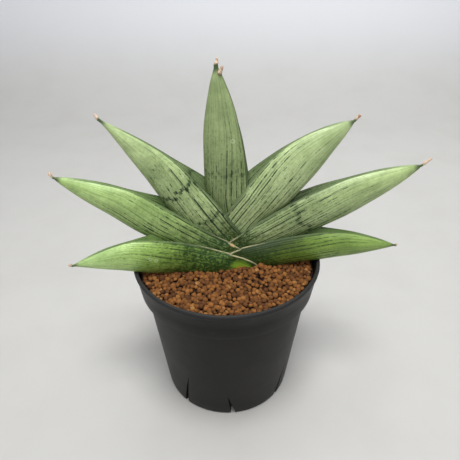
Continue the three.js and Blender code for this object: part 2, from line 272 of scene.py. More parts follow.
# %% [markdown]
# ## Modelling a leaf
# A flat grid is added, rolled up so that its two long sides meet in the channel, and
# laid over the leaf's sections row by row. A grid is used because it brings a map of
# the leaf with it: U runs around the leaf and V along it, and the leaf's lines are
# painted on that map later. The seam is merged, the two ends are filled, and three
# attributes are kept for the paint: the share of the blade, the distance to the nearest
# margin, and a number of the leaf's own, so that no two leaves get the same lines.

# %% Ring of a leaf
RING_CHANNEL = 12       # steps from the seam in the channel up to a margin
RING_WALL = 48          # steps from margin to margin around the keel
RING = 2 * RING_CHANNEL + RING_WALL


def ring_of(depth, width, mouth, valley):
    """Places across and sideways, from the seam to the front margin, around the keel
    to the back margin and back to the seam."""
    last = margin_turn(width, mouth)
    a = -last + 2 * last * np.arange(RING_WALL + 1) / RING_WALL
    wall = np.stack([-depth / 2 + depth * (1 - np.cos(a)) / (1 - math.cos(last)),
                     width / 2 * np.sin(a)], 1)
    s = np.arange(RING_CHANNEL) / RING_CHANNEL
    drop = valley * (1 - np.sqrt(s ** 2 + 0.01)) * 1.1
    lip = np.minimum(1 - s, 0.12) / 0.12
    inner = np.stack([depth / 2 - np.maximum(drop, 0) * lip, -mouth / 2 * s * 0.96], 1)
    outer = inner[::-1] * [1, -1]
    return np.concatenate([inner, wall, outer])


print("points in a ring:", len(ring_of(20, 12, 8, 5)))

# %% Rows of a leaf, from its node to the end of its spine
FOOT_ROWS, BLADE_ROWS, SPINE_ROWS = 14, 104, 14
TIP_ROW = FOOT_ROWS + BLADE_ROWS
ROWS = TIP_ROW + SPINE_ROWS
FAR_FROM_MARGIN = 9.0   # a spine has no margins


def leaf_rows():
    """Shares of the blade, from the node up the foot and along the blade."""
    foot = np.concatenate([[-2, -1.5], np.linspace(-1, 0, FOOT_ROWS - 2, endpoint=False)])
    blade = np.linspace(0, 1, BLADE_ROWS + 1) ** 0.95
    return np.concatenate([foot, blade])


def spine_direction(leaf, lean):
    turned = lean - math.radians(leaf["turn"])
    return np.array([leaf["side"] * math.sin(turned), 0, math.cos(turned)])


print("rows:", FOOT_ROWS, "of foot,", BLADE_ROWS, "of blade,", SPINE_ROWS, "of spine")

# %% Points of a leaf
SLOW_SWELL, QUICK_SWELL = 0.02, 0.012     # as shares of the leaf's girth


def swell_of(t, steps, wave):
    """No real leaf is quite even: slow swells run along and around it."""
    slow = np.sin(9 * t + wave[0] + steps * 0.09)
    quick = np.sin(23 * t + wave[1] - steps * 0.2)
    grown = min(1, t * 8)
    return 1 + SLOW_SWELL * slow * grown + QUICK_SWELL * quick * grown


def blade_points(leaf, order, share, place, wave):
    """One row around the leaf. The margin at the back stands higher than the front one,
    and below the middle of the blade the walls are draped round the inner leaves."""
    x, z, lean = place
    t = max(share, 0)
    steps = np.arange(RING + 1)
    ring = ring_of(*section(leaf, order, share)) * swell_of(t, steps, wave)[:, None]
    across, side = ring[:, 0], ring[:, 1]
    across += leaf["tilt"] * smooth(t / 0.25) * (1 - smooth((t - 0.45) / 0.3)) * side
    px = x - leaf["side"] * math.cos(lean) * across
    pz = z + math.sin(lean) * across
    middle = sway_at(leaf, share)
    py = middle + side
    for k in range(RING_CHANNEL, RING_CHANNEL + RING_WALL + 1):
        if abs(side[k]) > 0.05 and share < 0.5:
            walls = drape(order, px[k], pz[k], min(py[k], middle), max(py[k], middle), share)
            py[k] = walls[0] if side[k] < 0 else walls[1]
    return np.stack([px, py, pz], 1)


def place_leaf(leaf, order):
    """A (ROWS + 1) by (RING + 1) table of points, in millimetres, with the share of the
    blade and the distance to the margin of each."""
    shares = leaf_rows()
    line = middle_line(leaf, shares)
    points = np.zeros((ROWS + 1, RING + 1, 3))
    share_table = np.zeros((ROWS + 1, RING + 1))
    margin_table = np.zeros((ROWS + 1, RING + 1))
    rng = np.random.default_rng(40 + order)
    wave = rng.uniform(0, 6.28, 4)
    steps = np.arange(RING + 1)
    edge = np.minimum(abs(steps - RING_CHANNEL), abs(steps - RING_CHANNEL - RING_WALL))
    for row, (share, place) in enumerate(zip(shares, line)):
        points[row] = blade_points(leaf, order, share, place, wave)
        depth, width, _, _ = section(leaf, order, share)
        share_table[row] = max(share, -1)
        margin_table[row] = edge * 2 * (depth + width) / RING
    # the walls pull in to the spine
    tip = points[TIP_ROW].mean(0)
    ahead = spine_direction(leaf, line[-1][2])
    body = points[TIP_ROW] - tip
    round_body = body / np.maximum(np.linalg.norm(body, axis=1)[:, None], 1e-6)
    bend = rng.uniform(-1, 1, 2) * SPINE_CROOK
    for i in range(1, SPINE_ROWS + 1):
        f = i / SPINE_ROWS
        girth = 1.05 - 0.55 * f + 0.12 * math.sin(9 * f + wave[2])
        girth *= SPINE_RADIUS * (1 - f ** 8) ** 0.5
        shape = body * (1 - smooth(f / 0.3)) * (1 - f) + round_body * girth * smooth(f / 0.3)
        crook = np.array([bend[0], bend[1], abs(bend[0])]) * math.sin(f * 2.6) * f
        points[TIP_ROW + i] = tip + ahead * leaf["spine"] * f + crook + shape
        share_table[TIP_ROW + i] = 1 + f * 0.05
        margin_table[TIP_ROW + i] = FAR_FROM_MARGIN
    return points, share_table, margin_table


sample = place_leaf(LEAVES[0], 0)[0][TIP_ROW].mean(0)
print("the innermost blade ends at", np.round(sample, 1), "mm")

# %% Build the leaves
FIRST_NUMBER = 0.37     # of the leaves' numbers, which the noise in the paint reads


def build_leaf(leaf, order):
    start_clean()
    bpy.ops.mesh.primitive_grid_add(x_subdivisions=RING, y_subdivisions=ROWS, size=1)
    obj = bpy.context.object
    obj.name = obj.data.name = leaf["name"] + "_skin"
    obj.data.uv_layers[0].name = "leaf_map"
    flat = np.array([v.co for v in obj.data.vertices])
    col = np.rint((flat[:, 0] + 0.5) * RING).astype(int)
    row = np.rint((flat[:, 1] + 0.5) * ROWS).astype(int)
    points, share, margin = place_leaf(leaf, order)
    obj.data.vertices.foreach_set("co", (points[row, col] * MM).ravel())
    store(obj.data, "blade_share", share[row, col])
    store(obj.data, "margin_mm", margin[row, col])
    store(obj.data, "leaf_number", order + FIRST_NUMBER)
    bpy.ops.object.mode_set(mode="EDIT")
    bpy.ops.mesh.select_all(action="SELECT")
    bpy.ops.mesh.remove_doubles(threshold=1e-6)
    bpy.ops.mesh.select_all(action="SELECT")
    bpy.ops.mesh.fill_holes(sides=RING + 4)
    close_shell()
    bpy.ops.object.shade_smooth()
    return obj


leaf_objects = [build_leaf(leaf, i) for i, leaf in enumerate(LEAVES)]
print("built", len(leaf_objects), "leaves of", len(leaf_objects[0].data.polygons), "faces")

# %% [markdown]
# The innermost leaf has two spines, the second a little to the side of the first. It is
# a cone, cut finer and roughened, that is set on the blade and joined to its leaf.

# %% The centre leaf's second spine
TWIN_SHARE = 0.965      # of the blade
TWIN_SIDE = 0.36        # of the blade's depth there, from the middle line
TWIN_LEAN = 0.5         # radians away from the first spine


def add_twin_spine(obj, leaf):
    x, z, lean = middle_line(leaf, [TWIN_SHARE])[0]
    aside = section(leaf, 0, TWIN_SHARE)[0] * TWIN_SIDE
    ahead = Vector(spine_direction(leaf, lean - TWIN_LEAN))
    foot = Vector((x - leaf["side"] * math.cos(lean) * aside, -0.8,
                   z + math.sin(lean) * aside))
    start_clean()
    bpy.ops.mesh.primitive_cone_add(vertices=20, radius1=1.3 * MM, radius2=0.6 * MM,
                                    depth=(leaf["twin"] + 1) * MM)
    cone = bpy.context.object
    bpy.ops.object.mode_set(mode="EDIT")
    bpy.ops.mesh.select_all(action="SELECT")
    bpy.ops.mesh.subdivide(number_cuts=3)
    bpy.ops.transform.vertex_random(offset=0.2 * MM, seed=4)
    bpy.ops.object.mode_set(mode="OBJECT")
    cone.rotation_euler = ahead.to_track_quat("Z", "Y").to_euler()
    cone.location = (foot + ahead * leaf["twin"] / 2) * MM
    settle(cone)
    store(cone.data, "blade_share", 1.02)
    store(cone.data, "margin_mm", FAR_FROM_MARGIN)
    store(cone.data, "leaf_number", FIRST_NUMBER)
    cone.data.uv_layers[0].name = "leaf_map"
    bpy.ops.object.shade_smooth()
    obj.select_set(True)
    bpy.context.view_layer.objects.active = obj
    bpy.ops.object.join()


add_twin_spine(leaf_objects[0], LEAVES[0])
for leaf, obj in zip(LEAVES, leaf_objects):
    hand_over(obj, leaf["name"])

# %% [markdown]
# ## The pot
# The pot is a moulding that is round everywhere but at its slots. A lathe profile could
# be spun, but pushing a circle upwards ring by ring shows more plainly how a wall, a
# ledge, a collar and a rolled lip follow each other: extrude, then resize, then move.
# At the lip the rings turn down again, and the last ones make the inside and the floor.

# %% Profile of the pot, as radius and height
POT_HEIGHT, RIM, BASE = 102.8, 60.0, 44.0
COLLAR, STEP, COLLAR_TAPER = 20.0, 3.2, 2.6
WALL, FLOOR, LIP_HEIGHT, LIP = 1.8, 2.4, 3.0, 0.7
COLLAR_BOTTOM = POT_HEIGHT - COLLAR
BAND_TOP = RIM - LIP
BAND_BOTTOM = BAND_TOP - COLLAR_TAPER
BODY_TOP = BAND_BOTTOM - STEP
LEDGE = COLLAR_BOTTOM + WALL


def body_radius(z):
    return BASE + (BODY_TOP - BASE) * z / COLLAR_BOTTOM


POT_RINGS = [
    (12.0, 0), (BASE - 2.2, 0), (BASE - 1.0, 0.15), (BASE - 0.25, 0.7), (BASE + 0.05, 1.6),
    (body_radius(8), 8), (body_radius(20), 20), (body_radius(34), 34), (body_radius(50), 50),
    (body_radius(66), 66), (body_radius(78), 78), (BODY_TOP - 0.1, COLLAR_BOTTOM - 0.9),
    (BODY_TOP + 0.1, COLLAR_BOTTOM - 0.25), (BODY_TOP + 0.6, COLLAR_BOTTOM),
    (BAND_BOTTOM - 0.6, COLLAR_BOTTOM), (BAND_BOTTOM - 0.1, COLLAR_BOTTOM + 0.2),
    (BAND_BOTTOM + 0.1, COLLAR_BOTTOM + 0.8), (BAND_BOTTOM + 1.2, COLLAR_BOTTOM + 8.5),
    (BAND_TOP - 0.1, POT_HEIGHT - LIP_HEIGHT - 0.4), (BAND_TOP + 0.2, POT_HEIGHT - LIP_HEIGHT),
    (RIM - 0.15, POT_HEIGHT - LIP_HEIGHT + 0.5), (RIM, POT_HEIGHT - 1.6), (RIM - 0.1, POT_HEIGHT - 0.7),
    (RIM - 0.5, POT_HEIGHT - 0.15), (RIM - 1.1, POT_HEIGHT), (RIM - 1.9, POT_HEIGHT - 0.15),
    (RIM - 2.35, POT_HEIGHT - 0.7), (RIM - 2.5, POT_HEIGHT - 1.6),
    (BAND_BOTTOM - WALL + 1.0, LEDGE + 8), (BAND_BOTTOM - WALL, LEDGE + 0.2),
    (BODY_TOP - WALL, LEDGE - 0.3), (body_radius(60) - WALL, 60), (body_radius(30) - WALL, 30),
    (BASE + 0.4 - WALL, FLOOR + 1), (BASE - 1 - WALL, FLOOR), (12.0, FLOOR),
]
print(len(POT_RINGS), "rings in the pot's profile")

# %% Push a circle through its rings
def push_circle(name, rings, sides):
    """A closed round piece. It is left in edit mode, with its last face selected."""
    radius, height = rings[0]
    start_clean()
    bpy.ops.mesh.primitive_circle_add(vertices=sides, radius=radius * MM,
                                      location=(0, 0, height * MM), fill_type="NGON")
    obj = settle(bpy.context.object)
    obj.name = obj.data.name = name
    bpy.ops.object.mode_set(mode="EDIT")
    bpy.ops.mesh.select_mode(type="EDGE")
    bpy.ops.mesh.select_all(action="SELECT")
    bpy.ops.mesh.region_to_loop()
    for next_radius, next_height in rings[1:]:
        bpy.ops.mesh.extrude_edges_move()
        grow = next_radius / radius
        bpy.ops.transform.resize(value=(grow, grow, 1), center_override=(0, 0, height * MM))
        bpy.ops.transform.translate(value=(0, 0, (next_height - height) * MM))
        radius, height = next_radius, next_height
    bpy.ops.mesh.edge_face_add()
    return obj


pot = push_circle("pot_shell", POT_RINGS, 128)
close_shell()
tell(pot)

# %% [markdown]
# The drainage slots are leaning wedges cut through the foot of the wall, low and high in
# turn, with a shallow groove under the floor that leads to each. A cutter is a cube
# whose top is pulled to a ridge. All the cutters are joined, and one Boolean modifier
# takes them away: sixteen in a row would leave slivers where cuts cross.

# %% Cut the slots and grooves
SLOTS, SLOT_WIDTH, SLOT_START = 8, 2.8, 4.5
SLOT_HEIGHTS, SLOT_LEANS = (20, 32), (-3.8, 6.4)
FOOT, GROOVE = 20.0, 0.9        # where the grooves start, and their depth
RIDGE = 0.06                    # a slot's width at the top, as a share of its foot's
CUTTER_LENGTH = 14              # enough to pass right through the wall


def cube_at(distance, width, length, height):
    """A box of a given size that straddles Z 0, out in front of the pot's middle."""
    start_clean()
    bpy.ops.mesh.primitive_cube_add(size=1, location=(0, -distance * MM, 0))
    obj = bpy.context.object
    obj.scale = (width * MM, length * MM, height * MM)
    return settle(obj)


def wedge_cutter(turn, height, lean):
    obj = cube_at(BASE, SLOT_WIDTH, CUTTER_LENGTH, 2)
    bpy.ops.object.mode_set(mode="EDIT")
    bpy.ops.mesh.select_mode(type="FACE")
    bpy.ops.mesh.select_all(action="DESELECT")
    bpy.ops.object.mode_set(mode="OBJECT")
    for face in obj.data.polygons:
        face.select = face.normal.z > 0.9
    bpy.ops.object.mode_set(mode="EDIT")
    bpy.ops.transform.translate(value=(0, 0, (FLOOR - 1) * MM))
    bpy.ops.mesh.extrude_region_move(TRANSFORM_OT_translate={"value": (
        lean * MM, 0, (height - FLOOR) * MM)})
    bpy.ops.transform.resize(value=(RIDGE, 1, 1), center_override=(lean * MM, 0, height * MM))
    bpy.ops.object.mode_set(mode="OBJECT")
    obj.rotation_euler.z = turn
    return settle(obj)


def groove_cutter(turn):
    length = BASE - FOOT + 2
    obj = cube_at(FOOT + length / 2, SLOT_WIDTH, length, GROOVE * 2)
    obj.rotation_euler.z = turn
    return settle(obj)


cutters = []
for i in range(SLOTS):
    turn = math.radians(SLOT_START + i * 360 / SLOTS)
    cutters.append(wedge_cutter(turn, SLOT_HEIGHTS[i % 2], SLOT_LEANS[i % 2]))
    cutters.append(groove_cutter(turn))
start_clean()
for cutter in cutters:
    cutter.select_set(True)
bpy.context.view_layer.objects.active = cutters[0]
bpy.ops.object.join()
cut = pot.modifiers.new("cut", "BOOLEAN")
cut.object, cut.operation, cut.solver, cut.use_self = cutters[0], "DIFFERENCE", "EXACT", True
apply_modifiers(pot)
bpy.data.objects.remove(cutters[0])
pick(pot)
bpy.ops.object.shade_smooth_by_angle(angle=math.radians(35))
hand_over(pot, "pot")

# %% [markdown]
# ## The granules
# The pot is filled with fired-clay granules. A plug, painted nearly black as shade, fills
# the pot up to just below the top, and about three thousand small lumps lie on it in three
# layers. One lump is a cube, subdivided once and rounded. Fourteen are pushed into
# different shapes, and the bed is made of their copies, each turned and sized at random,
# with a number of its own that picks its colour. So many copies would be slow as objects,
# so they share one mesh.

# %% Height of the bed
BED_DROP, BED_MOUND, GRAIN_RELIEF = 5.0, 1.6, 0.7


def bed_height(x, y):
    r = math.hypot(x, y) / RIM
    grain = math.sin(x * 0.61 + 1.3 * math.sin(y * 0.37)) * math.sin(y * 0.55 + x * 0.13)
    return POT_HEIGHT - BED_DROP + BED_MOUND * (1 - r * r) + GRAIN_RELIEF * grain


def inner_radius(z):
    if z < LEDGE:
        return body_radius(min(z, COLLAR_BOTTOM)) - WALL
    return BAND_BOTTOM + COLLAR_TAPER * (z - LEDGE) / (POT_HEIGHT - LEDGE) - WALL


print("bed at the wall and in the middle:", bed_height(55, 0), bed_height(0, 0))

# %% The plug under the granules
PLUG_TOP = POT_HEIGHT - BED_DROP - 2.4
PLUG_GAP = 0.4          # between the plug and the pot
PLUG_RINGS = [
    (BASE - 2.6 - WALL, FLOOR + PLUG_GAP), (BASE - WALL, FLOOR + 2.4),
    (body_radius(30) - WALL - PLUG_GAP, 30), (body_radius(60) - WALL - PLUG_GAP, 60),
    (BODY_TOP - WALL - PLUG_GAP, LEDGE), (inner_radius(LEDGE + 1) - PLUG_GAP, LEDGE + 0.6),
    (inner_radius(PLUG_TOP) - PLUG_GAP, PLUG_TOP),
]
plug = push_circle("granule_plug", PLUG_RINGS, 72)
for inset in (6, 10, 14):
    bpy.ops.mesh.inset(thickness=inset * MM)
bpy.ops.transform.translate(value=(0, 0, 1.2 * MM))
close_shell()
tell(plug)

# %% A few lumps
ROUNDNESS, ROUGHNESS = 0.66, 0.09       # of a cube with sides of 1
LUMP_STRETCH = (0.8, 1.12)              # least and most, on each axis


def build_lump(seed):
    """The points and faces of one lump, about 1 across."""
    rng = np.random.default_rng(seed)
    start_clean()
    bpy.ops.mesh.primitive_cube_add(size=1)
    obj = bpy.context.object
    bpy.ops.object.mode_set(mode="EDIT")
    bpy.ops.mesh.select_all(action="SELECT")
    bpy.ops.mesh.subdivide(number_cuts=1, smoothness=0)
    bpy.ops.transform.tosphere(value=ROUNDNESS)
    bpy.ops.transform.vertex_random(offset=ROUGHNESS, seed=seed)
    bpy.ops.transform.resize(value=tuple(rng.uniform(*LUMP_STRETCH, 3)))
    bpy.ops.object.mode_set(mode="OBJECT")
    lump = np.array([v.co for v in obj.data.vertices])
    faces = np.array([list(f.vertices) for f in obj.data.polygons])
    bpy.data.objects.remove(obj)
    return lump, faces


lumps = [build_lump(seed) for seed in range(1, 15)]
print(len(lumps), "lumps of", len(lumps[0][1]), "faces")

# %% Places for the lumps
LAYERS = ((0.0, 2.2), (-1.3, 2.3), (-2.3, 2.9))     # height of each, and least gap in it
TRIES = 40000           # for each layer; most land on a lump and are dropped
LUMP_MIDDLE = 1.3       # of the top lumps, below the bed's height
LEAF_GAP = 0.5          # from a lump's middle to a leaf
PROUD = 0.6             # how far one in ten of the top lumps stands up
HEAP_X, HEAP_Y, HEAP_TOP, HEAP_SPREAD = 18, -16, 3.4, 10.0      # heaped in front of the crown


def heap(x, y):
    away = (x - HEAP_X) ** 2 / 1.6 + (y - HEAP_Y) ** 2
    return HEAP_TOP * math.exp(-away / HEAP_SPREAD ** 2)


def leaf_tree():
    """All the leaves as one surface that can say how far off it is."""
    verts, faces = [], []
    for obj in leaf_objects:
        first = len(verts)
        verts += [v.co.copy() for v in obj.data.vertices]
        faces += [[first + i for i in f.vertices] for f in obj.data.polygons]
    return BVHTree.FromPolygons(verts, faces)


def scatter():
    """Places for the lumps, kept apart from each other and clear of the leaves."""
    rng = random.Random(7)
    tree = leaf_tree()
    placed = []
    for layer, (sink, gap) in enumerate(LAYERS):
        spots = []
        grid = {}
        for _ in range(TRIES):
            r = math.sqrt(rng.random()) * (inner_radius(PLUG_TOP) - 1.9)
            a = rng.random() * 2 * math.pi
            x, y = r * math.cos(a), r * math.sin(a)
            cell = (int(x // 3), int(y // 3))
            beside = (spot for i in (-1, 0, 1) for j in (-1, 0, 1)
                      for spot in grid.get((cell[0] + i, cell[1] + j), ()))
            if any((x - p) ** 2 + (y - q) ** 2 < gap ** 2 for p, q in beside):
                continue
            z = bed_height(x, y) + heap(x, y) - LUMP_MIDDLE + sink + rng.uniform(-0.45, 0.45)
            if layer == 0 and rng.random() < 0.1:
                z += PROUD
            point = Vector((x, y, z)) * MM
            hit, normal, _, _ = tree.find_nearest(point)
            if (point - hit).dot(normal) < LEAF_GAP * MM:
                continue
            grid.setdefault(cell, []).append((x, y))
            spots.append((x, y, z))
        placed += spots
        print("layer", layer, "holds", len(spots), "lumps")
    return placed


places = scatter()

# %% Put a lump at each place
LUMP_SIZE = (2.0, 2.75)
LUMP_GRADES = (0.8, 1.0, 1.0, 1.12)     # some are sifted finer, some coarser
PLUG_NUMBER = -1.0      # below every lump's number, so that the paint can tell it


def build_granules():
    rng = random.Random(11)
    verts, faces, numbers, sunk = [], [], [], []
    count = 0
    for x, y, z in places:
        lump, lump_faces = lumps[rng.randrange(len(lumps))]
        turn = np.array(Euler([rng.uniform(0, 6.28) for _ in range(3)]).to_matrix())
        size = rng.uniform(*LUMP_SIZE) * rng.choice(LUMP_GRADES)
        placed = lump @ turn.T * size + (x, y, z)
        reach = np.hypot(placed[:, 0], placed[:, 1])
        limit = inner_radius(PLUG_TOP) - 0.3
        placed[:, :2] *= np.minimum(1, limit / np.maximum(reach, 1e-6))[:, None]
        verts.append(placed)
        faces.append(lump_faces + count)
        numbers += [rng.random()] * len(lump)
        sunk.append(bed_height(x, y) + heap(x, y) - placed[:, 2])
        count += len(lump)
    mesh = bpy.data.meshes.new("granule_bed")
    mesh.from_pydata((np.concatenate(verts) * MM).tolist(), [], np.concatenate(faces).tolist())
    store(mesh, "granule_number", numbers)
    store(mesh, "sunk_mm", np.concatenate(sunk))
    obj = bpy.data.objects.new("granule_bed", mesh)
    bpy.context.scene.collection.objects.link(obj)
    return obj


granules = build_granules()
pick(granules)
bpy.ops.object.shade_smooth()
store(plug.data, "granule_number", PLUG_NUMBER)
plug.select_set(True)
bpy.context.view_layer.objects.active = granules
bpy.ops.object.join()
hand_over(granules, "substrate")

# %% [markdown]
# ## Finishes
# Each material is a few layers of paint: a base, slow variation, fine marks and wear.
# What several materials share is made once as a node group with named sockets.

# %% Node helpers
def add(tree, kind, inputs, **settings):
    """A node whose inputs are each joined to another node's output or given a value."""
    made = tree.nodes.new(kind)
    for key, value in settings.items():
        setattr(made, key, value)
    for key, value in inputs.items():
        if hasattr(value, "is_linked"):
            tree.links.new(value, made.inputs[key])
        else:
            made.inputs[key].default_value = value
    return made


def maths(tree, operation, *values):
    return add(tree, "ShaderNodeMath", dict(enumerate(values)), operation=operation).outputs[0]


def vector(tree, **parts):
    return add(tree, "ShaderNodeCombineXYZ", parts).outputs[0]


def chance(tree, x, y):
    """A random value for each pair of numbers."""
    return add(tree, "ShaderNodeTexWhiteNoise", {"Vector": vector(tree, X=x, Y=y)},
               noise_dimensions="2D").outputs["Value"]


def split(tree, value):
    return add(tree, "ShaderNodeSeparateXYZ", {0: value}).outputs


def object_coords(tree):
    return add(tree, "ShaderNodeTexCoord", {}).outputs["Object"]


def ease(tree, value, low, high, start=0.0, end=1.0):
    """From start to end, without a corner, as the value goes from low to high."""
    made = add(tree, "ShaderNodeMapRange", {
        "Value": value, "From Min": low, "From Max": high, "To Min": start, "To Max": end},
        interpolation_type="SMOOTHSTEP", clamp=True)
    return made.outputs[0]


def mix(tree, factor, a, b):
    """The mix node keeps its colour sockets at places 6 and 7, and its result at 2."""
    return add(tree, "ShaderNodeMix", {0: factor, 6: a, 7: b}, data_type="RGBA",
               clamp_factor=True).outputs[2]


def noise_of(tree, place, scale, detail=3.0, rough=0.55):
    return add(tree, "ShaderNodeTexNoise", {
        "Vector": place, "Scale": scale, "Detail": detail, "Roughness": rough}).outputs["Fac"]


def rgb(*values):
    return (*values, 1.0)


def coat(tree, colour, mask, strength, paint):
    """One more coat over a colour, as strong as its mask says."""
    return mix(tree, maths(tree, "MULTIPLY", mask, strength), colour, rgb(*paint))


def emboss(tree, shader, height, strength, depth):
    made = add(tree, "ShaderNodeBump", {"Height": height, "Strength": strength, "Distance": depth})
    tree.links.new(made.outputs[0], shader.inputs["Normal"])


def group(name, inputs, outputs):
    tree = bpy.data.node_groups.new(name, "ShaderNodeTree")
    for label, kind in inputs:
        tree.interface.new_socket(label, in_out="INPUT", socket_type="NodeSocket" + kind)
    for label, kind in outputs:
        tree.interface.new_socket(label, in_out="OUTPUT", socket_type="NodeSocket" + kind)
    source = tree.nodes.new("NodeGroupInput")
    sink = tree.nodes.new("NodeGroupOutput")
    return tree, source.outputs, sink.inputs


def use_group(tree, made, **inputs):
    return add(tree, "ShaderNodeGroup", inputs, node_tree=made).outputs


def material(name, obj, roughness=0.5, **constants):
    made = bpy.data.materials.new(name)
    made.use_nodes = True
    tree = made.node_tree
    shader = tree.nodes["Principled BSDF"]
    shader.inputs["Roughness"].default_value = roughness
    for key, value in constants.items():
        shader.inputs[key.replace("_", " ")].default_value = value
    obj.data.materials.clear()
    obj.data.materials.append(made)
    return tree, shader


def attribute(tree, name):
    return add(tree, "ShaderNodeAttribute", {}, attribute_name=name).outputs["Fac"]


print("node helpers ready")

# %% [markdown]
# The leaf's lines are the heart of its look. The skin is divided into narrow lanes that
# run from the base to the tip, each lane holds one thin line, and noise along the lane
# breaks the line into dashes. Lines could be drawn in an image, but nodes stay sharp from
# near by. The group gives a mask of the lines and a fine streaky noise, and every leaf
# has it in its paint with its own values.

# %% Group: broken lines along a leaf
LANES = 34              # around the whole leaf, a third of them in its channel


def lane_lines(tree, given, lanes, length, thin, shift):
    """One thin line in each lane. The lines are broken where noise along the lane is
    low, thicker in the cross bands, and rarer towards the tip. Some lanes keep a faint
    line all the way."""
    around, along = given["Around"], given["Along"]
    number = maths(tree, "ADD", given["Number"], shift)
    wander = noise_of(tree, vector(tree, X=maths(tree, "MULTIPLY", around, 6.0),
                                   Y=maths(tree, "MULTIPLY", along, 5.0), Z=number), 1.0, 2.0)
    place = maths(tree, "MULTIPLY_ADD", around, lanes, maths(tree, "MULTIPLY", wander, 0.45))
    lane = maths(tree, "FLOOR", place)
    off = maths(tree, "ABSOLUTE", maths(tree, "SUBTRACT", maths(tree, "FRACT", place), 0.5))
    luck = chance(tree, lane, number)
    dash = noise_of(tree, vector(tree, X=maths(tree, "MULTIPLY", lane, 17.3),
                                 Y=maths(tree, "MULTIPLY", along, length), Z=number),
                    1.0, 4.0, 0.65)
    more = maths(tree, "MULTIPLY_ADD", given["Bands"], 0.16, maths(tree, "MULTIPLY", luck, 0.12))
    keep = maths(tree, "SUBTRACT", given["Keep"], more)
    solid = ease(tree, dash, keep, maths(tree, "ADD", keep, 0.05))
    width = maths(tree, "MULTIPLY", maths(tree, "MULTIPLY_ADD", luck, 0.7, 0.6), thin)
    width = maths(tree, "MULTIPLY", width, maths(tree, "MULTIPLY_ADD", given["Bands"], 1.4, 1.0))
    line = ease(tree, off, width, maths(tree, "MULTIPLY", width, 0.3))
    faint = ease(tree, luck, 0.3, 0.9, 0.0, 0.42)
    return maths(tree, "MULTIPLY", line, maths(tree, "MAXIMUM", solid, faint))


lines_group, given, gives = group(
    "broken_leaf_lines",
    [("Around", "Float"), ("Along", "Float"), ("Number", "Float"), ("Keep", "Float"),
     ("Bands", "Float")], [("Lines", "Float"), ("Fine", "Float")])
bold = lane_lines(lines_group, given, LANES, 25.0, 0.145, 0.0)
narrow = lane_lines(lines_group, given, LANES * 1.8, 52.0, 0.18, 5.0)
lines_group.links.new(maths(lines_group, "MAXIMUM", bold, maths(
    lines_group, "MULTIPLY", narrow, 0.6)), gives["Lines"])
fine = noise_of(lines_group, vector(
    lines_group, X=maths(lines_group, "MULTIPLY", given["Around"], 150.0),
    Y=maths(lines_group, "MULTIPLY", given["Along"], 7.0), Z=given["Number"]), 1.0, 2.0)
lines_group.links.new(fine, gives["Fine"])
print("leaf lines group:", len(lines_group.nodes), "nodes")

# %% Group: slow variation of a colour
mottle_group, given, gives = group(
    "slow_mottle", [("Vector", "Vector"), ("Colour", "Color"), ("Shade", "Color"),
                    ("Scale", "Float"), ("Amount", "Float")], [("Colour", "Color")])
cloud = noise_of(mottle_group, given["Vector"], given["Scale"], 4.0, 0.6)
mottle_group.links.new(mix(mottle_group, maths(
    mottle_group, "MULTIPLY", ease(mottle_group, cloud, 0.35, 0.68), given["Amount"]),
    given["Colour"], given["Shade"]), gives["Colour"])


def mottle(tree, coords, colour, shade, scale, amount):
    """Clouds of a darker shade, on every finish of the plant."""
    return use_group(tree, mottle_group, Vector=coords, Colour=colour, Shade=shade,
                     Scale=scale, Amount=amount)["Colour"]


print("mottle group:", len(mottle_group.nodes), "nodes")

# %% [markdown]
# A leaf is painted from the bottom up: sage green that turns yellower and lighter to the
# tip, partly its own colour and partly a painted highlight, jagged cross bands, the broken
# lines, dark green where it leaves its sheath, a dark green line inside each margin with a
# cream edge on it, and a dry, tan spine. Each leaf has its own greens, its own dark crown
# and its own bands. The greens differ partly as real leaves do and partly as painted light
# and shade: leaves that lean up into the overhead light are painted lighter, and the
# upright centre leaf and the lower right leaf under its neighbour darker. A band has a
# place, as a share of the blade, and a strength. A scar has its x and z and the radius of
# its pale ring.

# %% The greens of each leaf, partly painted light and shade: skin, tip and shade, as linear red, green and blue
PAINT = {
    "leaf_centre": dict(greens=((0.285, 0.37, 0.155), (0.4, 0.5, 0.235), (0.085, 0.135, 0.04)),
                        crown=0.1, bands=((0.5, 0.4),), lines=0.95, cream=0.06,
                        scars=((3.9, 181.0, 1.0),)),
    "leaf_upper_right": dict(greens=((0.52, 0.645, 0.315), (0.58, 0.72, 0.36), (0.17, 0.26, 0.08)),
                             crown=0.09, bands=(), lines=0.95, cream=0.1),
    "leaf_upper_left": dict(greens=((0.5, 0.64, 0.29), (0.66, 0.83, 0.4), (0.09, 0.15, 0.04)),
                            crown=0.24, bands=((0.51, 1.0), (0.3, 0.75)), lines=1.0, cream=0.12,
                            scars=((-25.0, 161.0, 0.7),)),
    "leaf_middle_right": dict(greens=((0.44, 0.56, 0.255), (0.55, 0.71, 0.31), (0.09, 0.145, 0.035)),
                              crown=0.2, bands=((0.43, 0.6),), lines=1.0, cream=0.18),
    "leaf_middle_left": dict(greens=((0.39, 0.55, 0.19), (0.56, 0.78, 0.29), (0.1, 0.175, 0.035)),
                             crown=0.26, bands=(), lines=1.0, cream=0.25),
    "leaf_lower_right": dict(greens=((0.225, 0.355, 0.055), (0.31, 0.46, 0.12), (0.075, 0.145, 0.018)),
                             crown=0.24, bands=(), lines=0.85, cream=0.2, shade_under_neighbour=0.5),
    "leaf_lower_left": dict(greens=((0.38, 0.58, 0.125), (0.57, 0.79, 0.32), (0.085, 0.185, 0.02)),
                            crown=0.44, bands=(), lines=0.9, cream=0.4, heel=True,
                            scars=((-46.0, 113.0, 0.7), (-42.5, 111.5, 0.9))),
}
CROWN_GREEN, BAND_GREEN, LINE_GREEN = (0.018, 0.055, 0.007), (0.04, 0.085, 0.025), (0.008, 0.022, 0.005)
CHANNEL_GREEN, MARGIN_GREEN = (0.045, 0.09, 0.03), (0.028, 0.06, 0.018)
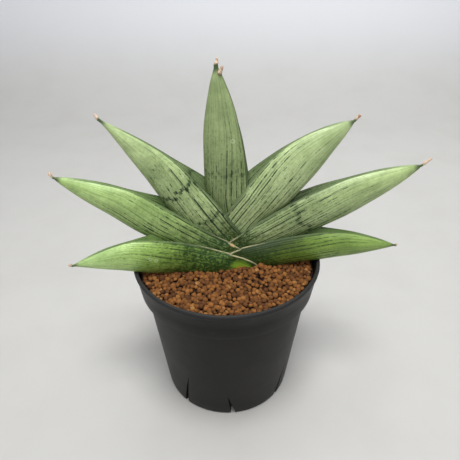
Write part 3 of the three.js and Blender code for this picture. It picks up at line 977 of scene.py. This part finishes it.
CREAM, SCAR_PALE, KNOT_TAN = (0.46, 0.4, 0.22), (0.55, 0.62, 0.4), (0.6, 0.42, 0.2)
UNDER_LEAF_SHADE_GREEN, BLEACHED_GREEN, BLEACHED_TAN = (0.02, 0.04, 0.01), (0.22, 0.4, 0.03), (0.5, 0.3, 0.05)
SPINE_RING, SPINE_TAN, SPINE_BROWN = (0.03, 0.06, 0.018), (0.66, 0.5, 0.36), (0.34, 0.16, 0.09)
CROWN_KNOTS = ((2.6, 121.7), (3.1, 114.6))     # x and z of the corky spots where margins meet
HEEL = (8.5, 99.0)      # x and z of the outermost leaf's bleached heel
print("greens for", len(PAINT), "leaves")

# %% Masks on a leaf: cross bands, and the distance from a place
def cross_bands(tree, share, uv, number, places):
    """Jagged bands across the blade: each lane has its own small shift along it."""
    jag = chance(tree, maths(tree, "FLOOR", maths(tree, "MULTIPLY", uv["X"], LANES * 1.4)), number)
    slow = noise_of(tree, vector(tree, X=maths(tree, "MULTIPLY", uv["X"], 5.0), Y=number), 1.0, 2.0)
    shift = maths(tree, "MULTIPLY_ADD", jag, 0.035, maths(tree, "MULTIPLY", slow, 0.12))
    at = maths(tree, "ADD", share, shift)
    total = ease(tree, noise_of(tree, vector(
        tree, X=maths(tree, "MULTIPLY", uv["X"], 7.0), Y=maths(tree, "MULTIPLY", at, 13.0),
        Z=number), 1.0, 4.0, 0.65), 0.58, 0.74, 0.0, 0.45)
    for place, strength in places:
        away = maths(tree, "ABSOLUTE", maths(tree, "SUBTRACT", at, place + 0.07))
        total = maths(tree, "MAXIMUM", total, ease(tree, away, 0.012, 0.006, 0.0, strength))
    return total


def away_from(tree, coords, x, z):
    """Distance in millimetres from a place on the leaf's front, seen square on."""
    parts = split(tree, coords)
    apart = add(tree, "ShaderNodeVectorMath", {
        0: vector(tree, X=parts["X"], Z=parts["Z"]), 1: (x * MM, 0, z * MM)},
        operation="DISTANCE").outputs["Value"]
    return maths(tree, "MULTIPLY", apart, 1 / MM)


# %% Skin: greens, bands, lines and the dark crown
def paint_skin(tree, coords, share, marks, banding, greens, crown, lines):
    skin, tip, shade = (rgb(*green) for green in greens)
    # towards the tip the green turns lighter, partly its own colour and partly a painted highlight
    colour = mix(tree, ease(tree, share, 0.45, 0.95), skin, tip)
    colour = mottle(tree, coords, colour, shade, 75.0, 0.4)
    # streaks that follow the leaf, and freckles that are thickest low on the blade
    colour = mix(tree, maths(tree, "MULTIPLY", ease(tree, marks["Fine"], 0.38, 0.66), 0.36),
                 colour, shade)
    freckles = maths(tree, "MULTIPLY", ease(tree, noise_of(tree, coords, 620.0, 3.0, 0.6),
                                            0.48, 0.6), ease(tree, share, 0.9, 0.2, 0.35, 1.0))
    colour = mix(tree, maths(tree, "MULTIPLY", freckles, 0.36), colour, shade)
    colour = coat(tree, colour, banding, 0.75, BAND_GREEN)
    fade = maths(tree, "MULTIPLY", ease(tree, share, 0.95, 0.5, 0.35, 1.0), lines)
    colour = coat(tree, colour, marks["Lines"], fade, LINE_GREEN)
    # dark, mottled green where the blade leaves the sheath
    ragged = maths(tree, "MULTIPLY_ADD", noise_of(tree, coords, 260.0, 5.0, 0.75), 1.4,
                   marks["Fine"])
    reach = maths(tree, "MULTIPLY_ADD", maths(tree, "SUBTRACT", ragged, 1.2), crown * 1.1, share)
    speckle = ease(tree, noise_of(tree, coords, 650.0, 3.0, 0.7), 0.6, 0.46, 0.6, 1.0)
    return coat(tree, colour, ease(tree, reach, crown * 1.3, crown * 0.6), speckle, CROWN_GREEN)


# %% Painted shade under the leaf above, and marks of age: a bleached heel and scars
def paint_shade_and_age(tree, coords, share, margin, colour, shade_under_neighbour, heel, scars):
    if shade_under_neighbour:
        # painted shade: near its margin the skin is painted dark where the leaf above shades it
        colour = coat(tree, colour, ease(tree, margin, 13.0, 2.0, 0.0, 0.75),
                      ease(tree, share, shade_under_neighbour, shade_under_neighbour * 0.6), UNDER_LEAF_SHADE_GREEN)
    if heel:
        # the outermost leaf is bleached yellow where granules cover its heel
        patch = maths(tree, "MULTIPLY_ADD", noise_of(tree, coords, 300.0, 3.0), 4.0,
                      away_from(tree, coords, *HEEL))
        colour = coat(tree, colour, ease(tree, patch, 11.0, 6.0), 0.9, BLEACHED_GREEN)
        colour = coat(tree, colour, ease(tree, patch, 6.5, 3.5), 0.75, BLEACHED_TAN)
    for x, z, size in scars:
        off = maths(tree, "SUBTRACT", away_from(tree, coords, x, z), size)
        rim = ease(tree, maths(tree, "ABSOLUTE", off), 0.4, 0.15)
        colour = coat(tree, colour, rim, 0.6, SCAR_PALE)
    return colour


# %% Edges: the channel, the margins and the spine
def paint_edges(tree, coords, share, margin, around, colour, inside, cream):
    channel = maths(tree, "MAXIMUM", ease(tree, around, 0.165, 0.155), ease(tree, around, 0.835, 0.845))
    colour = coat(tree, colour, channel, 0.55, CHANNEL_GREEN)
    colour = coat(tree, colour, inside, 0.75, MARGIN_GREEN)
    worn = ease(tree, noise_of(tree, coords, 350.0, 3.0), 0.36, 0.6, 0.45, 1.0)
    edge = maths(tree, "MULTIPLY", ease(tree, margin, 0.7, 0.3), worn)
    colour = coat(tree, colour, edge, ease(tree, share, cream, cream * 0.3, 0.06, 0.9), CREAM)
    for x, z in CROWN_KNOTS:
        knot = maths(tree, "MULTIPLY", ease(tree, away_from(tree, coords, x, z), 2.2, 1.2),
                     ease(tree, margin, 1.8, 0.9))
        colour = coat(tree, colour, knot, 0.85, KNOT_TAN)
    ring = maths(tree, "MULTIPLY", ease(tree, share, 0.955, 0.985), ease(tree, share, 1.006, 1.001))
    colour = coat(tree, colour, ring, 0.85, SPINE_RING)
    bark = mix(tree, ease(tree, noise_of(tree, coords, 600.0, 3.0), 0.45, 0.68),
               rgb(*SPINE_TAN), rgb(*SPINE_BROWN))
    return mix(tree, spine_only(tree, share), colour, bark)


def spine_only(tree, share):
    return ease(tree, share, 1.001, 1.006)


# %% [markdown]
# The greens are satin, and the lines, the margins and the spines are duller. Fine streaks
# and grain stand up a little from the skin, and the lines are pressed into it.

# %% Put a leaf's finish together
def leaf_finish(name, obj, greens, crown, bands, lines, cream, shade_under_neighbour=0.0, heel=False,
                scars=()):
    tree, shader = material(name + "_green", obj, Specular_IOR_Level=0.5)
    coords = object_coords(tree)
    uv = split(tree, add(tree, "ShaderNodeUVMap", {}, uv_map="leaf_map").outputs[0])
    share, margin, number = (attribute(tree, label) for label in (
        "blade_share", "margin_mm", "leaf_number"))
    banding = maths(tree, "MULTIPLY", cross_bands(tree, share, uv, number, bands),
                    ease(tree, share, 0.8, 0.6))
    marks = use_group(tree, lines_group, Around=uv["X"], Along=uv["Y"], Number=number,
                      Keep=ease(tree, share, 0.1, 0.9, 0.46, 0.64), Bands=banding)
    inside = maths(tree, "MULTIPLY", ease(tree, margin, 1.5, 0.7), ease(tree, share, 1.0, 0.85))
    colour = paint_skin(tree, coords, share, marks, banding, greens, crown, lines)
    colour = paint_shade_and_age(tree, coords, share, margin, colour, shade_under_neighbour, heel, scars)
    colour = paint_edges(tree, coords, share, margin, uv["X"], colour, inside, cream)
    tree.links.new(colour, shader.inputs["Base Color"])
    dull = maths(tree, "MAXIMUM", spine_only(tree, share), inside)
    dull = maths(tree, "MAXIMUM", dull, marks["Lines"])
    rough = maths(tree, "MULTIPLY_ADD", marks["Fine"], 0.14, 0.32)
    tree.links.new(maths(tree, "MULTIPLY_ADD", dull, 0.32, rough), shader.inputs["Roughness"])
    height = maths(tree, "MULTIPLY_ADD", noise_of(tree, coords, 900.0, 2.0), 0.3, marks["Fine"])
    height = maths(tree, "SUBTRACT", height, maths(tree, "MULTIPLY", marks["Lines"], 0.9))
    emboss(tree, shader, height, 0.45, 0.2 * MM)


for obj, leaf in zip(leaf_objects, LEAVES):
    leaf_finish(leaf["name"], obj, **PAINT[leaf["name"]])
print(len(leaf_objects), "leaves painted")

# %% [markdown]
# The pot is black polypropylene: nearly black and satin. Its body is painted a little
# lighter than the collar, partly as dust and partly as a painted reflection of the floor,
# while the collar is kept nearly black. The lip gets a painted highlight, and small pale
# scuffs catch the light.

# %% Pot finish
tree, shader = material("pot_black_satin", pot, Specular_IOR_Level=0.2)
coords = object_coords(tree)
height = split(tree, coords)["Z"]
# the body's lighter colour is partly dust and partly a painted reflection of the floor
colour = mottle(tree, coords, rgb(0.0085, 0.0085, 0.008), rgb(0.0155, 0.015, 0.0135), 28.0, 0.8)
# the collar is painted near black, without the body's dust and painted reflection
collar_without_dust_and_painted_reflection = ease(tree, height, (COLLAR_BOTTOM - 2) * MM, (COLLAR_BOTTOM + 3) * MM)
colour = coat(tree, colour, collar_without_dust_and_painted_reflection, 0.85, (0.002, 0.002, 0.002))
scuffs = maths(tree, "MULTIPLY", ease(tree, noise_of(tree, coords, 180.0, 5.0, 0.7), 0.6, 0.72),
               ease(tree, noise_of(tree, coords, 24.0, 2.0), 0.52, 0.7))
colour = coat(tree, colour, scuffs, 0.2, (0.16, 0.15, 0.13))
# painted highlight: the lip is painted paler along its edge
lip = ease(tree, height, (POT_HEIGHT - 3.2) * MM, (POT_HEIGHT - 0.4) * MM)
colour = coat(tree, colour, lip, 0.5, (0.05, 0.05, 0.052))
tree.links.new(colour, shader.inputs["Base Color"])
tree.links.new(maths(tree, "MULTIPLY_ADD", noise_of(tree, coords, 60.0, 4.0), 0.18, 0.38),
               shader.inputs["Roughness"])
emboss(tree, shader, noise_of(tree, coords, 1400.0, 2.0), 0.25, 0.1 * MM)
print("pot painted with", len(tree.nodes), "nodes")

# %% [markdown]
# Fired clay is matt and rust brown, and no two granules are quite the same shade, so each
# lump's own number picks its colour from a ramp. The gaps get painted shade: the deeper a
# lump lies below the bed, the darker it is painted, and the plug beneath is painted nearly
# black.

# %% Granule finish
GAP_PAINTED_SHADE = (0.012, 0.004, 0.002)
tree, shader = material("fired_clay_granules", granules, roughness=0.9, Specular_IOR_Level=0.25)
coords = object_coords(tree)
number = attribute(tree, "granule_number")
ramp = add(tree, "ShaderNodeValToRGB", {0: number})
stops = ramp.color_ramp.elements
stops[0].position, stops[0].color = 0.0, rgb(0.07, 0.025, 0.008)
stops[1].position, stops[1].color = 1.0, rgb(0.38, 0.19, 0.06)
for position, shade in ((0.2, (0.13, 0.05, 0.014)), (0.5, (0.21, 0.083, 0.021)),
                        (0.85, (0.28, 0.112, 0.027)), (0.97, (0.32, 0.14, 0.036))):
    stops.new(position).color = rgb(*shade)
colour = mottle(tree, coords, ramp.outputs[0], rgb(0.1, 0.038, 0.012), 420.0, 0.6)
# painted shade: the deeper a lump lies below the bed, the darker it is painted
colour = coat(tree, colour, ease(tree, attribute(tree, "sunk_mm"), 0.6, 1.9), 0.96, GAP_PAINTED_SHADE)
# painted shade: the plug seen between the lumps is painted nearly black
plug_painted_shade_mask = ease(tree, number, -0.2, -0.6)
colour = mix(tree, plug_painted_shade_mask, colour, rgb(0.012, 0.005, 0.003))
tree.links.new(colour, shader.inputs["Base Color"])
emboss(tree, shader, noise_of(tree, coords, 1500.0, 4.0, 0.7), 0.8, 0.4 * MM)
print("granules painted with", len(tree.nodes), "nodes")

# %% [markdown]
# The rhizome is buried in the granules, so the frame's own solid stays as it is and only
# gets its colour, the pale brown of a root.

# %% Rhizome finish
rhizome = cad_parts["rhizome"]
tree, shader = material("root_flesh", rhizome, roughness=0.6)
colour = mottle(tree, object_coords(tree), rgb(0.55, 0.4, 0.24), rgb(0.33, 0.2, 0.1), 140.0, 0.8)
tree.links.new(colour, shader.inputs["Base Color"])
print("rhizome painted")

# %% [markdown]
# ## Stage, light and camera
# The plant stands on a pale floor that curves up behind it, as a sheet of paper does in
# a studio. A soft light overhead gives the shadows on both sides of the pot, a weaker one
# in front opens them, and two more brighten the sweep behind. The rest comes evenly from
# all round.

# %% Floor
BEND_START, BEND_RADIUS, BEND_STEPS = 0.55, 0.35, 12      # the first two in metres


def build_floor():
    start_clean()
    bpy.ops.mesh.primitive_plane_add(size=2, location=(0, 0, -0.0002))
    obj = bpy.context.object
    obj.name = "pale_floor"
    obj.scale = (3, 1.5, 1)
    obj.location.y = BEND_START - 1.5
    settle(obj)
    bpy.ops.object.mode_set(mode="EDIT")
    bpy.ops.mesh.select_mode(type="EDGE")
    bpy.ops.mesh.select_all(action="DESELECT")
    bpy.ops.object.mode_set(mode="OBJECT")
    for line in obj.data.edges:
        line.select = all(obj.data.vertices[i].co.y > BEND_START - 0.01 for i in line.vertices)
    bpy.ops.object.mode_set(mode="EDIT")
    for i in range(BEND_STEPS):
        a, b = (math.radians(90 * k / BEND_STEPS) for k in (i, i + 1))
        bpy.ops.mesh.extrude_edges_move(TRANSFORM_OT_translate={"value": (
            0, BEND_RADIUS * (math.sin(b) - math.sin(a)), BEND_RADIUS * (math.cos(a) - math.cos(b)))})
    bpy.ops.mesh.extrude_edges_move(TRANSFORM_OT_translate={"value": (0, 0, 2)})
    bpy.ops.object.mode_set(mode="OBJECT")
    bpy.ops.object.shade_smooth()
    return obj


floor = build_floor()
tree, shader = material("pale_sweep", floor, roughness=0.65)
coords = object_coords(tree)
stain = ease(tree, noise_of(tree, coords, 14.0, 4.0, 0.6), 0.4, 0.7)
paper = coat(tree, rgb(0.515, 0.508, 0.487), stain, 0.25, (0.44, 0.43, 0.4))
# painted light: where the paper rises behind, it is painted lighter and bluer than the floor, for the
# brighter light on the sweep
behind = ease(tree, split(tree, coords)["Z"], 0.0, 0.2)
paper = mix(tree, behind, paper, rgb(0.69, 0.7, 0.73))
tree.links.new(paper, shader.inputs["Base Color"])
print("floor bends up", BEND_START, "m behind the pot")

# %% Lights
world = bpy.data.worlds.new("even_surround")
bpy.context.scene.world = world
world.use_nodes = True
surround = world.node_tree.nodes["Background"].inputs
surround["Color"].default_value = rgb(0.96, 0.975, 1.0)
surround["Strength"].default_value = 0.18


def soft_light(name, place, target, size, power, colour=(1, 1, 1)):
    """A round lamp of a size in metres and a power in watts, aimed at its target."""
    lamp = bpy.data.lights.new(name, "AREA")
    lamp.shape, lamp.size, lamp.energy, lamp.color = "DISK", size, power, colour
    obj = bpy.data.objects.new(name, lamp)
    obj.location = place
    obj.rotation_euler = (Vector(target) - Vector(place)).to_track_quat("-Z", "Y").to_euler()
    bpy.context.scene.collection.objects.link(obj)


soft_light("overhead_softbox", (0.02, -0.24, 1.0), (0, 0, 0.1), 0.38, 7.9)
soft_light("front_fill", (-0.1, -1.0, 0.85), (0, 0, 0.08), 0.6, 4.0)
soft_light("backdrop_light", (-0.15, 0.3, 1.1), (-0.15, 0.95, 0.25), 1.0, 4.8, (0.97, 0.98, 1.0))
soft_light("backdrop_glow", (0.52, 0.32, 0.7), (0.47, 0.68, 0.0), 0.3, 1.7, (0.98, 0.99, 1.0))
print(len(bpy.data.lights), "lights")

# %% Camera
PITCH, YAW, ROLL = 31.70, 0.65, 0.19     # degrees down, to the right, and over
camera = bpy.data.cameras.new("camera")
camera.lens, camera.sensor_width = 35.0, 36.0
camera.clip_start, camera.clip_end = 0.01, 50
camera_object = bpy.data.objects.new("camera", camera)
camera_object.location = (0, -0.2394, 0.2688)
camera_object.rotation_euler = [math.radians(a) for a in (90 - PITCH, ROLL, -YAW)]
bpy.context.scene.collection.objects.link(camera_object)
bpy.context.scene.camera = camera_object
bpy.context.scene.view_settings.view_transform = "Standard"
print("camera looks", PITCH, "degrees down")
